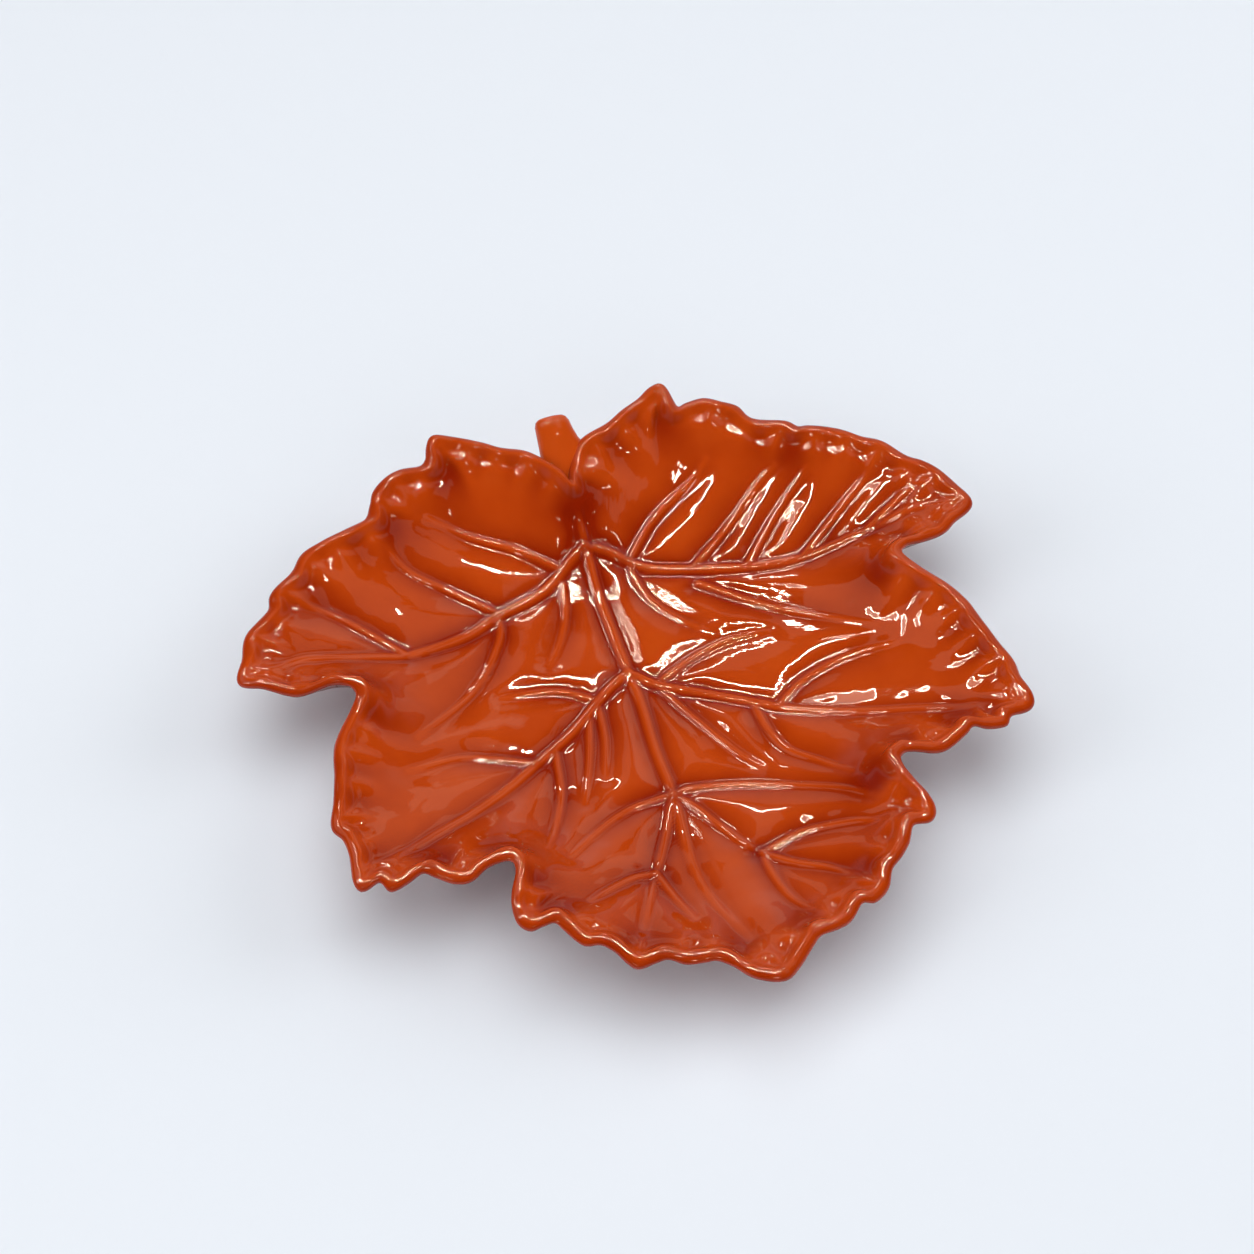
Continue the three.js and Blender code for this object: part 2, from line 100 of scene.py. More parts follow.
# leaf: millimetres on the drawing sheet. The rim is x, y and lift, round from the notch, and each vein
# runs from its thick end to its fading end
leaf = {
    "rimHeight": 31.5,
    "wall": 4.5,
    "clearance": 4.5,           # of the lowest part of the underside over the table
    "bowlRise": 18,
    "bowlCentreY": -35,
    "bowlPower": 2.2,
    "halfWidth": 117.75,
    "lipReach": 8,              # the edge turns up over this, after a gentler climb over the next
    "climbReach": 46,
    "climbShare": 0.85,
    "lobeBlend": 300,           # square mm that even out the rim's height for the climb
    "crestRound": 2.4,
    "outwardOver": 6,           # rim points to each side that give its outward direction
    "toothOver": 12,            # rim points to each side that give the run a tooth stands out from
    "toothReach": 1.3,          # how far a full tooth stands out from that run
    "toothBlend": 2,            # square mm that even out the edge from tooth to tooth
    "toothSharp": 7,            # the higher, the less one tooth blends into the next
    "toothShare": 0.7,          # shares of the teeth and of the fingertip dents in how the edge curls
    "dentShare": 0.6,
    "dentRun": 11,              # from one dent to the next
    "dentDrift": (40, 0.5),     # length and strength of the change in their rhythm
    "flutes": (1.6, 5),         # depth of the pockets between teeth, and how far inside the rim they lie
    "roll": (1.0, 2.6),         # depth of the dip beside the bead, and how far inside the crest it lies
    "underLag": 2.5,            # the underside turns up this much nearer the rim
    "underShare": 0.975,        # how far out the underside's edge lies, where it meets the bead
    "bead": 2.1,
    "beadDrop": 0.75,           # how flat the bead's section is
    "beadSteps": 8,
    "beadTurn": 165,            # degrees round from the crest
    "scallop": 2.2,             # how far the crest swings in between teeth
    "flank": (2, 0.7),          # how fast that comes in beside the flanks of the bays, and from where
    "footCentreY": -30,
    "fanCentre": (3, -5),       # every rim point is seen from here
    "hub": (-1, 8),             # brush strokes run outward from here
    "topCells": 284,
    "underCells": 72,
    "rimCrowding": 0.5,         # how much the grid's rows crowd toward the rim, and from how far
    "crowdReach": 0.1,
    "rimSteps": 8,              # steps of a curve from each drawn point to the next
    "veinSteps": 6,
    # a vein's height over the groove that it lies in, half its width, the groove's depth and half its width
    "mainVein": (1.7, 1.8, 1.3, 4.5),
    "sideVein": (1.0, 1.4, 0.95, 5),
    "veinTip": 0.15,            # shares of the height and of the width left at the fading end
    "veinTipWidth": 0.65,
    "veinFade": 1.5,            # the higher, the later a vein fades
    "veinReach": 30,            # a vein is felt no further off than this
    "veinEase": 0.3,            # square mm that round off the distance from a vein
    "footLine": 0.8,            # width of the painted shade line where a vein meets its groove
    "pillow": (1.4, 10),        # swell of the panels between veins, and how far from a vein it takes
    "waves": (0.34, 16),        # height and length of the hand-pressed waves
    "reliefStart": (2.5, 9),    # veins and waves start this far inside the rim, and grow over the next
    "veinPull": (0.4, 5),       # how much the grid's cells crowd toward a vein, and from how far
    "pullStart": (6, 0.5),      # how slowly that starts inside the rim, and how late
    # how thin the glaze is on the flats, what ridges change where it thins, what grooves and dents change,
    # partly pooled glaze and partly painted shade, and the painted shade of the lines beside veins
    "thinFlat": 0.5,
    "groovePoolAndShade": 0.5,
    "thinRidge": 0.1,
    "dentPoolAndShade": 0.42,
    "veinFootShade": 0.1,
    "crestShadeLimit": (0.4, 0.9),    # the least tone on the rim's crest, which keeps the dents' painted shade off it, and how far inside that holds
    "beadShade": (0.4, 0.1),     # tone on top of the bead, and what it loses outward and downward: painted shade on the bead's outer side and underside
    "rim": [
        (-2, 50, 0.5), (-5, 53.5, 1.5), (-11, 60.5, 2), (-18.5, 63.5, 3), (-23.5, 67, 3.5),
        (-32, 71.5, 4.5), (-37, 72.5, 6), (-39, 70, 5), (-40.5, 66.5, 3), (-44, 64.5, 2),
        (-51, 64, 3), (-56.5, 61.5, 3), (-60, 58.5, 2.5), (-62, 54.5, 1.5), (-65.5, 49, 1),
        (-73.5, 45.5, 2), (-81.5, 43, 2), (-88, 40.5, 1.5), (-92.5, 35, 1), (-100.5, 28.5, 1),
        (-103, 22.5, 0.5), (-111.5, 15, 0.5), (-114.5, 7, 0), (-117.5, 0.5, -1), (-112, -3, 0),
        (-105.5, -7.5, -0.5), (-101.5, -9.3, 0), (-93.5, -10, 2.5), (-89, -11.5, 3), (-86, -14, 3),
        (-85, -18, 2),
        (-88, -22.5, 0.5), (-95.5, -33, 0), (-98.5, -44.5, 0), (-101, -53, -0.5), (-103.5, -60, -1.5),
        (-101.5, -65, -1), (-101, -71.5, -1), (-102, -81.5, -2), (-96.5, -80.5, -1.5), (-94, -84, -2.5),
        (-90, -83.5, -1.5), (-84.5, -82, -0.5), (-80.5, -84, -1.5), (-76, -87, -2.5), (-72, -88, -2),
        (-67, -86, -0.5), (-61, -86, 0.5), (-57.5, -88, 0.5), (-57.4, -92.5, 0),
        (-60.4, -98.3, -1.5), (-61.5, -102.5, -2.5), (-61.5, -106.5, -3), (-59.5, -108.5, -3.5),
        (-56.5, -108.5, -2.5), (-52.5, -109, -2), (-50, -112, -3), (-46.5, -117.5, -4), (-42, -119.5, -3),
        (-38.5, -123.5, -3), (-36.5, -127.5, -3.5), (-34.5, -129.5, -4), (-30, -129.5, -3),
        (-26, -130, -2.5), (-21.5, -132.5, -3.5), (-16.5, -134, -2.5), (-13, -135, -2), (-9, -138.5, -2),
        (-5, -144, -1.5), (1, -147.5, -0.5), (5.5, -145, -1), (11.5, -139.5, -1.5), (15.5, -136.5, -1.5),
        (21.5, -135.5, -2), (25.5, -134, -2.5), (30.5, -130, -1.5), (34.5, -130.5, -2), (39, -127.5, -2.5),
        (42, -122.5, -1.5), (46.5, -119, -1.5), (50, -115.5, -2), (54, -110, -1), (59.5, -110, -1.5),
        (61.5, -107.5, -1.5), (61, -103.5, -0.5), (59.3, -98.5, 0),
        (57.5, -92.5, 1), (58, -88.5, 1.5), (61.5, -86, 1), (66, -86.5, 0.5), (71, -88, -0.5),
        (75, -87.5, -1), (81, -85, 0), (85, -83, 0.5), (89.5, -84.5, -0.5), (94.5, -85, -1),
        (97, -82.5, -0.5), (103.5, -81.5, -1.5), (105, -78.5, -0.5), (104, -72, 0), (104.5, -66, 0),
        (103, -59, 0.5), (101.5, -50.5, 1), (100, -40.5, 1), (97, -33.5, 1.5), (90.5, -23, 2),
        (88, -15.5, 2),
        (92, -11.5, 1.5), (98, -11, 1), (103.5, -9.8, 0), (107, -8.5, 0), (110.5, -6, 0),
        (118, -1.5, -0.5), (116.5, 4.5, 0.5), (113, 13, 1), (110, 17.5, 1), (106, 21, 1),
        (100, 29, 2), (94.5, 33, 2), (88.5, 38, 2.5), (80.5, 42, 2.5), (77, 43.5, 2),
        (73.5, 46.5, 2.5), (64, 52.5, 1),
        (60.5, 57.5, 3), (56, 60.5, 3.5), (51.5, 63.5, 3.5), (46, 63.5, 3), (42.5, 63, 3),
        (40.5, 66, 4.5), (39.5, 71.5, 6), (37, 72, 5.5), (32, 69, 4.5), (26, 66.5, 4),
        (20, 63.5, 3), (11, 61, 1.5), (7.5, 58.5, 0), (4, 52.5, -2), (1.2, 47.5, -2),
    ],
    "mainVeins": [
        [(0, 30), (-1, 15), (-1, 0), (-1, -17), (-1, -30), (-2.5, -48), (-3, -66), (-5, -81), (-7, -98),
         (-6, -112), (-2, -130)],
        [(0, 30), (0.5, 37), (1, 43)],
        [(-1, 30), (-7, 26), (-18, 19), (-34, 14), (-45, 9), (-59, 5.5), (-69, 4), (-83, 4.5), (-99, 5),
         (-110, 1)],
        [(-1, 30), (6, 27), (12, 22), (18, 18), (30, 14), (45, 9), (60, 5), (74, 3.5), (87, 3.5), (102, 4),
         (111, 1)],
        [(-1, -17), (-7.5, -20.5), (-14, -25.5), (-26, -35), (-40, -44), (-53, -53), (-67, -61), (-82, -69),
         (-94, -77)],
        [(-1, -17), (4, -22.5), (10, -27), (20, -33), (33, -41.5), (44, -49), (60, -58.5), (77, -67.5),
         (93, -77)],
    ],
    "sideVeins": [
        [(-3, -66), (-10, -67), (-17, -68), (-25, -71.5), (-33, -77), (-40, -83)],
        [(-3, -66), (4, -66), (17, -69.5), (31, -76.5), (43, -86), (52, -98)],
        [(-3, -66), (-7.5, -75.5), (-14, -88), (-18, -95), (-22, -103), (-29, -117)],
        [(-3, -66), (2, -74), (7, -85), (10, -92), (14, -98)],
        [(-10, 25), (-21, 34), (-34, 41.5), (-47, 50)],
        [(-34, 15), (-47, 25.5), (-58, 33.5), (-63, 43)],
        [(-67, 5), (-77, 14.5), (-87, 22), (-97, 26)],
        [(-34, 14), (-35.5, 7), (-39, 1), (-43.5, -5), (-51, -13), (-60, -20), (-72, -29)],
        [(-11, 20), (-13.5, 9), (-18, 0), (-24, -8)],
        [(12, 22), (21, 31), (30.5, 37.5), (40, 42), (47, 47)],
        [(31, 14), (39, 19), (46.5, 24), (59, 33), (67, 37)],
        [(48, 9), (58, 18.5), (66, 25), (76, 32)],
        [(66, 5), (76, 11.5), (87, 18.5), (96, 23)],
        [(87, 4), (100, 10), (108, 12)],
        [(12, 22), (12, 16), (14, 8), (18, 1), (23, -5), (28, -10)],
        [(31, 8), (40, 0), (51, -10), (63, -20), (76, -32)],
        [(6, -24), (20, -18), (32, -15.5), (45, -17)],
        [(39, -45), (48, -39.5), (59, -37), (68, -37.5), (79, -40.5)],
        [(6, -24), (10.5, -35), (14, -43), (21, -58), (26, -66)],
        [(32, -42), (32.5, -51.5), (35, -62), (42, -72), (48, -82)],
        [(-13, -25), (-23, -18.5), (-33, -16.5), (-42, -16.5)],
        [(-39, -43), (-50, -39), (-62, -37), (-78, -41)],
        [(-14, -26), (-16, -40), (-20.5, -54)],
        [(-18, -30), (-23, -46), (-29.5, -62)],
        [(-32, -40), (-35, -56), (-41, -70), (-46, -79)],
        [(-18, -95), (-25, -95), (-32.5, -98), (-40, -102)],
        [(-18, -95), (-16, -107), (-13.5, -117)],
        [(14, -98), (27, -95.5), (40, -99), (48, -104)],
        [(14, -98), (21, -106), (29, -113), (35, -121)],
        [(14, -98), (13.5, -107), (14.5, -118), (18, -127)],
    ],
}

# the sheet's origin in the frame, from where the foot ring stands
footLow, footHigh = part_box("foot_ring")
sheetX = (footLow.x + footHigh.x) / 2 * mmPerMetre
sheetY = (footLow.y + footHigh.y) / 2 * mmPerMetre - leaf["footCentreY"]


def inFrame(x, y, z):
    return Vector(((x + sheetX) / mmPerMetre, (y + sheetY) / mmPerMetre, z / mmPerMetre))


# smooth curve through points, with this many steps from each to the next
def smoothCurve(points, steps, closed):
    p = np.array(points, float)
    if closed:
        before, after, later = np.roll(p, 1, 0), np.roll(p, -1, 0), np.roll(p, -2, 0)
    else:
        longer = np.vstack([2 * p[0] - p[1], p, 2 * p[-1] - p[-2]])
        before, p, after, later = longer[:-3], longer[1:-2], longer[2:-1], longer[3:]
    rows = []
    for t in np.arange(steps) / steps:
        bend = 2 * before - 5 * p + 4 * after - later
        twist = 3 * p - before - 3 * after + later
        rows.append(p + 0.5 * ((after - before) * t + bend * t ** 2 + twist * t ** 3))
    curve = np.stack(rows, 1).reshape(-1, p.shape[1])
    return curve if closed else np.vstack([curve, longer[-2]])


# the rim's crest as evenly spaced points
def evenRim(count):
    loop = smoothCurve(leaf["rim"], leaf["rimSteps"], True)
    loop = np.vstack([loop, loop[:1]])
    reach = np.concatenate([[0], np.cumsum(np.hypot(*np.diff(loop[:, :2], axis=0).T))])
    at = np.linspace(0, reach[-1], count, endpoint=False)
    points = np.stack([np.interp(at, reach, loop[:, k]) for k in range(3)], 1)
    points[:, 2] += leaf["rimHeight"]
    # the bead's outside meets the sides of the solid leaf's box
    low, high = [np.array(corner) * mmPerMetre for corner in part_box("leaf_dish")]
    for k, origin in enumerate((sheetX, sheetY)):
        first, last = low[k] + leaf["bead"] - origin, high[k] - leaf["bead"] - origin
        points[:, k] = np.interp(points[:, k], (points[:, k].min(), points[:, k].max()), (first, last))
    points[:, 2] = np.minimum(points[:, 2], high[2])
    return points


rim = evenRim(4 * leaf["topCells"])
rimStep = np.hypot(*(np.roll(rim, -1, 0) - rim)[:, :2].T)
alongRim = np.roll(rim, -leaf["outwardOver"], 0) - np.roll(rim, leaf["outwardOver"], 0)
rimOut = np.stack([alongRim[:, 1], -alongRim[:, 0]], 1) / np.hypot(alongRim[:, 0], alongRim[:, 1])[:, None]
# how far the rim stands out from its own run, 1 on a tooth and -1 between two
neighbours = range(-leaf["toothOver"], leaf["toothOver"] + 1)
rimRun = np.mean([np.roll(rim, k, 0) for k in neighbours], 0)
rimTooth = np.clip(((rim - rimRun)[:, :2] * rimOut).sum(1) / leaf["toothReach"], -1, 1)
# fingertip dents follow each other along the rim, in an uneven rhythm
rimReach = np.cumsum(rimStep)
driftRun, driftShare = leaf["dentDrift"]
drift = np.array([noise.noise((px / driftRun, py / driftRun, 3)) for px, py in rim[:, :2]])
dents = np.cos(2 * math.pi * (rimReach / leaf["dentRun"] + driftShare * drift))
rimTooth = np.clip(leaf["toothShare"] * rimTooth + leaf["dentShare"] * dents, -1, 1)
# the crest runs in scallops inside the outline, so the bead is broader between teeth, except on the
# flanks of the bays, which run straight away from the middle
ray = rim[:, :2] - leaf["fanCentre"]
ray /= np.hypot(*ray.T)[:, None]
offFlank = np.clip((rimOut * ray).sum(1) * leaf["flank"][0] - leaf["flank"][1], 0, 1)
scallop = leaf["scallop"] * offFlank * (1 - rimTooth) / 2
rim[:, :2] -= ray * scallop[:, None]
beadReach = rimOut * leaf["bead"] + ray * scallop[:, None]
rimStep = np.hypot(*(np.roll(rim, -1, 0) - rim)[:, :2].T)


# the plain dished floor
def bowlHeight(x, y):
    along = y - leaf["bowlCentreY"]
    front, back = leaf["bowlCentreY"] - rim[:, 1].min(), rim[:, 1].max() - leaf["bowlCentreY"]
    share = np.hypot(x / leaf["halfWidth"], along / np.where(along < 0, front, back))
    return leaf["clearance"] + leaf["wall"] + leaf["bowlRise"] * share ** leaf["bowlPower"]


# distance to the rim, eased where two sides are equally near, how far the rim thereabouts stands over
# the bowl, and how much of a tooth it is
def edgeAt(x, y):
    rimLift = rim[:, 2] - bowlHeight(rim[:, 0], rim[:, 1])
    distance, lift, broadLift, tooth = np.zeros((4, len(x)))
    batch = 4000                # places at a time, to spare memory
    for start in range(0, len(x), batch):
        part = slice(start, start + batch)
        squared = (x[part, None] - rim[:, 0]) ** 2 + (y[part, None] - rim[:, 1]) ** 2
        distance[part] = (math.pi / 2 / (rimStep / (squared + tiny) ** 2).sum(1)) ** (1 / 3)
        weight = 1 / (squared + leaf["toothBlend"]) ** 2
        lift[part] = (weight * rimLift).sum(1) / weight.sum(1)
        weight = 1 / (squared + leaf["toothBlend"]) ** leaf["toothSharp"]
        tooth[part] = (weight * rimTooth).sum(1) / weight.sum(1)
        weight = 1 / (squared + leaf["lobeBlend"]) ** 2
        broadLift[part] = (weight * rimLift).sum(1) / weight.sum(1)
    return distance, lift, broadLift, tooth


# height of the blade without its veins: the bowl, its climb to the rim and the upturned edge
def bladeHeight(x, y, distance, lift, broadLift):
    distance = np.hypot(distance, leaf["crestRound"]) - leaf["crestRound"]
    climb = leaf["climbShare"] * broadLift * np.clip(1 - distance / leaf["climbReach"], 0, 1) ** 2
    rest = lift - leaf["climbShare"] * broadLift
    return bowlHeight(x, y) + climb + rest * np.clip(1 - distance / leaf["lipReach"], 0, 1) ** 2


# ridges of the veins and the grooves beside them, which blend where they meet, the eased distance from
# the veins, the way there, and the lines where a vein meets its groove
def veinRelief(x, y):
    blend, reach = 4, leaf["veinReach"]
    ridge, groove, line = np.zeros((3, len(x)))
    crowd, pull = np.full(len(x), tiny), np.zeros((2, len(x)))
    kinds = [(route, leaf["mainVein"]) for route in leaf["mainVeins"]]
    kinds += [(route, leaf["sideVein"]) for route in leaf["sideVeins"]]
    for route, (height, halfWidth, depth, grooveWidth) in kinds:
        curve = smoothCurve(route, leaf["veinSteps"], False)
        (lowX, lowY), (highX, highY) = curve.min(0) - reach, curve.max(0) + reach
        near = np.flatnonzero((x > lowX) & (x < highX) & (y > lowY) & (y < highY))
        away, share, toward = np.full(len(near), np.inf), np.zeros(len(near)), np.zeros((2, len(near)))
        for k, (start, end) in enumerate(zip(curve[:-1], curve[1:])):
            run = end - start
            t = ((x[near] - start[0]) * run[0] + (y[near] - start[1]) * run[1]) / (run @ run)
            t = np.clip(t, 0, 1)
            gap = np.stack([start[0] + t * run[0] - x[near], start[1] + t * run[1] - y[near]])
            here = np.hypot(*gap)
            closer = here < away
            away[closer] = here[closer]
            toward[:, closer] = gap[:, closer]
            share[closer] = (k + t[closer]) / (len(curve) - 1)
        fade = 1 - (1 - leaf["veinTip"]) * share ** leaf["veinFade"]
        across = away / halfWidth / (leaf["veinTipWidth"] + (1 - leaf["veinTipWidth"]) * fade)
        ridge[near] += (height * fade * np.exp(-across ** 3)) ** blend
        groove[near] += (depth * fade * np.exp(-(away / grooveWidth) ** 2)) ** blend
        atFoot = np.exp(-((away - halfWidth) / leaf["footLine"]) ** 2)
        line[near] = np.maximum(line[near], (fade - leaf["veinTip"]) * height * atFoot)
        weight = fade / (away ** 2 + leaf["veinEase"]) ** 2
        crowd[near] += weight
        pull[:, near] += weight * toward
    relief = ridge ** (1 / blend) - groove ** (1 / blend)
    return relief, crowd ** -0.25, pull / crowd, line


# a square grid whose cells are split along the square's own diagonals, where they are drawn out flat
def leafGrid(bm, cells):
    verts = bmesh.ops.create_grid(bm, x_segments=cells, y_segments=cells, size=1)["verts"]
    crossing = [vert for vert in verts if abs(abs(vert.co.x) - abs(vert.co.y)) < gridSlack]
    bmesh.ops.connect_verts(bm, verts=crossing)
    return verts


# spreads a square grid over the leaf, so that its rings become smaller copies of the rim, and says which
# rim point each place belongs to
def overLeaf(verts, crowding):
    u, v = np.array([vert.co[:2] for vert in verts]).T
    ring = np.maximum(np.abs(u), np.abs(v))
    a, b = u / np.maximum(ring, tiny), v / np.maximum(ring, tiny)
    turn = np.select([a > 1 - gridSlack, b > 1 - gridSlack, a < gridSlack - 1],
                     [(b + 1) / 8, 0.25 + (1 - a) / 8, 0.5 + (1 - b) / 8], 0.75 + (a + 1) / 8)
    at = turn % 1 * len(rim)
    inward = 1 - ring
    ring = 1 - inward * (1 - crowding * np.exp(-inward / leaf["crowdReach"]))
    places = []
    for k, centre in enumerate(leaf["fanCentre"]):
        edge = np.interp(at, np.arange(len(rim) + 1), np.append(rim[:, k], rim[0, k]))
        places.append(centre + ring * (edge - centre))
    return *places, np.rint(at).astype(int) % len(rim)


def buildLeaf(material):
    bm = bmesh.new()
    glazeAndPaintedLight = bm.verts.layers.float.new("glazeThinAndPaintedLight")
    brushed = bm.verts.layers.float_vector.new("brushed")
    rimIndex = bm.verts.layers.int.new("rimIndex")
    # top of the blade
    top = leafGrid(bm, leaf["topCells"])
    x, y, index = overLeaf(top, leaf["rimCrowding"])
    distance = edgeAt(x, y)[0]
    _, away, pull, _ = veinRelief(x, y)
    share, reach = leaf["veinPull"]
    slow, late = leaf["pullStart"]
    pull *= share * np.exp(-(away / reach) ** 2) * np.clip(distance / slow - late, 0, 1)
    x, y = x + pull[0], y + pull[1]
    distance, lift, broadLift, tooth = edgeAt(x, y)
    relief, away, _, line = veinRelief(x, y)
    start, grow = leaf["reliefStart"]
    inside = np.clip((distance - start) / grow, 0, 1)
    inside = inside * inside * (3 - 2 * inside)
    puff, panel = leaf["pillow"]
    swell = puff * (0.5 - np.exp(-(away / panel) ** 2))
    waveHeight, waveRun = leaf["waves"]
    waves = np.array([noise.noise((px / waveRun, py / waveRun, 0)) for px, py in zip(x, y)])
    fluteDepth, fluteReach = leaf["flutes"]
    flute = distance / fluteReach * np.exp(1 - distance / fluteReach)
    dip, dipReach = leaf["roll"]
    beside = (distance / dipReach) ** 2
    z = bladeHeight(x, y, distance, lift, broadLift)
    z += fluteDepth * flute * tooth
    z -= dip * beside * np.exp(1 - beside)
    z += inside * (relief + swell + waveHeight * waves)
    z = np.minimum(z, rim[:, 2].max())
    # glaze thins a little on the veins; beside them and in the pockets between teeth it is darker, partly
    # pooled glaze and partly painted shade, with a painted shade line at each vein's foot
    groove, ridge = leaf["groovePoolAndShade"] * np.minimum(relief, 0), leaf["thinRidge"] * np.maximum(relief, 0)
    glazeAndShade = leaf["thinFlat"] + inside * (groove + ridge)
    # pockets between teeth: partly pooled glaze, partly painted shade; foot of each vein: a painted shade
    # line in the crease
    glazeAndShade += leaf["dentPoolAndShade"] * np.minimum(tooth, 0) * flute - leaf["veinFootShade"] * inside * line
    # the crest stays at least this light, so the painted shade of the dents stops short of it
    least, leastReach = leaf["crestShadeLimit"]
    glazeAndShade = np.maximum(glazeAndShade, least * np.exp(-(distance / leastReach) ** 2))
    # strokes run outward from the middle
    hub = leaf["hub"]
    turn, out = np.arctan2(hub[0] - x, y - hub[1]), np.hypot(x - hub[0], y - hub[1])
    across, along = glaze["brush"]
    strokes = np.stack([glaze["brushAt"] * turn / across, out / along, 0 * out], 1)
    for vert, px, py, pz, share, k, stroke in zip(top, x, y, z, glazeAndShade, index, strokes):
        vert.co = inFrame(px, py, pz)
        vert[glazeAndPaintedLight] = share
        vert[brushed] = stroke
        vert[rimIndex] = k
    # over the bead and round under it
    edges = [edge for edge in bm.edges if edge.is_boundary]
    onTop, loss = leaf["beadShade"]
    for step in range(leaf["beadSteps"]):
        turn = math.radians(leaf["beadTurn"]) * (step + 1) / leaf["beadSteps"]
        stepOut, stepDown = math.sin(turn), 1 - math.cos(turn)
        grown = bmesh.ops.extrude_edge_only(bm, edges=edges)["geom"]
        edges = [part for part in grown if isinstance(part, bmesh.types.BMEdge)]
        for vert in [part for part in grown if isinstance(part, bmesh.types.BMVert)]:
            k = vert[rimIndex]
            px, py = rim[k, :2] + beadReach[k] * stepOut
            vert.co = inFrame(px, py, rim[k, 2] - stepDown * leaf["bead"] * leaf["beadDrop"])
            # painted shade: the bead darkens outward and downward, toward its outer side and underside
            vert[glazeAndPaintedLight] = onTop - loss * stepOut - loss * stepDown
    # underside, a coarser grid joined to the bead
    under = leafGrid(bm, leaf["underCells"])
    places = zip(overLeaf(under, 0), leaf["fanCentre"])
    x, y = [centre + leaf["underShare"] * (place - centre) for place, centre in places]
    distance, lift, broadLift, _ = edgeAt(x, y)
    lift = lift + leaf["wall"] - 2 * leaf["bead"]
    z = bladeHeight(x, y, distance + leaf["underLag"], lift, broadLift) - leaf["wall"]
    for vert, px, py, pz in zip(under, x, y, z):
        vert.co = inFrame(px, py, pz)
    edges += [edge for edge in {edge for vert in under for edge in vert.link_edges} if edge.is_boundary]
    bmesh.ops.bridge_loops(bm, edges=edges)
    bm.verts.layers.int.remove(bm.verts.layers.int["rimIndex"])
    finishPiece(bm, "leaf_blade", material, "leaf_dish")


# stalk: a flattened strap that leaves the notch outward and upward, spreads into the right margin at its
# root and ends in a blunt round
stalk = {
    "root": (1.2, 44, 16.5),
    "run": 27.8,
    "climb": 19,
    "thickness": 8.2,
    "sides": 32,
    "glazeThinAndPaintedLight": (0.66, 0.1),   # how light the glaze is at the root, painted light, and what it loses toward the end
    # share of the run, reach to the left and right, fullness of the thickness
    "stations": [
        (0, 5.5, 9, 0.9), (0.25, 6.8, 12, 1), (0.45, 6.8, 13, 1), (0.58, 6.6, 11.5, 1),
        (0.66, 6.4, 9, 1), (0.74, 6.2, 7.4, 1), (0.84, 6, 6.4, 0.98), (0.92, 5.8, 5.9, 0.9),
        (0.965, 5.2, 5.2, 0.74), (0.988, 4.2, 4.2, 0.52), (0.998, 2.4, 2.4, 0.26),
    ],
}


def buildStalk(material):
    bm = bmesh.new()
    glazeAndPaintedLight = bm.verts.layers.float.new("glazeThinAndPaintedLight")
    root = Vector(stalk["root"])
    along = Vector((0, stalk["run"], stalk["climb"]))
    up = Vector((1, 0, 0)).cross(along).normalized()
    ring = bmesh.ops.create_circle(bm, cap_ends=True, segments=stalk["sides"], radius=1)["verts"]
    turns = [math.atan2(vert.co.y, vert.co.x) for vert in ring]
    edges = bm.edges[:]
    atRoot, loss = stalk["glazeThinAndPaintedLight"]
    for k, (share, left, right, fullness) in enumerate(stalk["stations"]):
        if k:
            grown = bmesh.ops.extrude_edge_only(bm, edges=edges)["geom"]
            edges = [part for part in grown if isinstance(part, bmesh.types.BMEdge)]
            ring = [part for part in grown if isinstance(part, bmesh.types.BMVert)]
        for vert, turn in zip(ring, turns):
            reach = right if math.cos(turn) > 0 else left
            place = root + along * share
            place += Vector((1, 0, 0)) * math.cos(turn) * reach
            place += up * math.sin(turn) * stalk["thickness"] / 2 * fullness
            vert.co = inFrame(*place)
            # painted light: the stalk is lighter than the blade, most at its root
            vert[glazeAndPaintedLight] = atRoot - loss * share
    bmesh.ops.contextual_create(bm, geom=edges)
    finishPiece(bm, "stalk", material, "stem_handle")


# foot ring: stands on a bare eased edge; its top slopes with the underside of the leaf
foot = {
    "radius": 42,
    "width": 7,
    "ease": 1,
    "easeMiddle": 0.3,          # where the eased edge's middle point lies, as a share of the ease
    "innerTop": 5.9,
    "outerTop": 6.2,
    "steps": 96,
}


def buildFoot(material):
    bm = bmesh.new()
    inner, outer = foot["radius"] - foot["width"], foot["radius"]
    ease, middle = foot["ease"], foot["ease"] * foot["easeMiddle"]
    section = [(inner, foot["innerTop"]), (inner, ease), (inner + middle, middle), (inner + ease, 0),
               (outer - ease, 0), (outer - middle, middle), (outer, ease), (outer, foot["outerTop"])]
    points = [bm.verts.new(inFrame(radius, leaf["footCentreY"], height)) for radius, height in section]
    edges = [bm.edges.new(pair) for pair in zip(points, points[1:])]
    edges.append(bm.edges.new((points[-1], points[0])))
    bmesh.ops.spin(bm, geom=points + edges, cent=inFrame(0, leaf["footCentreY"], 0), axis=(0, 0, 1),
                   angle=2 * math.pi, steps=foot["steps"], use_merge=True)
    finishPiece(bm, "foot", material, "foot_ring")


# glazed earthenware: a thick glassy red-orange glaze over pale clay, which mirrors sharply, is lighter where
# it thins on veins, lighter on the stalk as painted light, and deeper where it pools and where painted shade
# lies in grooves, dents, creases and on the bead
glaze = {
    # how thin it is, with the painted light and shade added in, and its colour there
    "tones": [(0.28, "#8a1d02"), (0.68, "#b9400a"), (0.9, "#c94d12"), (1, "#d86a34")],
    "cloud": (26, 0.4),         # mm between thicker and thinner patches, and how much they count
    "ripple": (9, 2, 0.12),     # mm from wave to wave and high in its soft waves, and their strength
    "brush": (1.6, 14),         # mm across and along the strokes that it was brushed out with
    "brushAt": 60,              # mm from the hub at which they are that wide
    "brushed": (0.6, 0.05),     # mm high, and their strength
    "roughness": 0.03,
    "ior": 1.48,
}


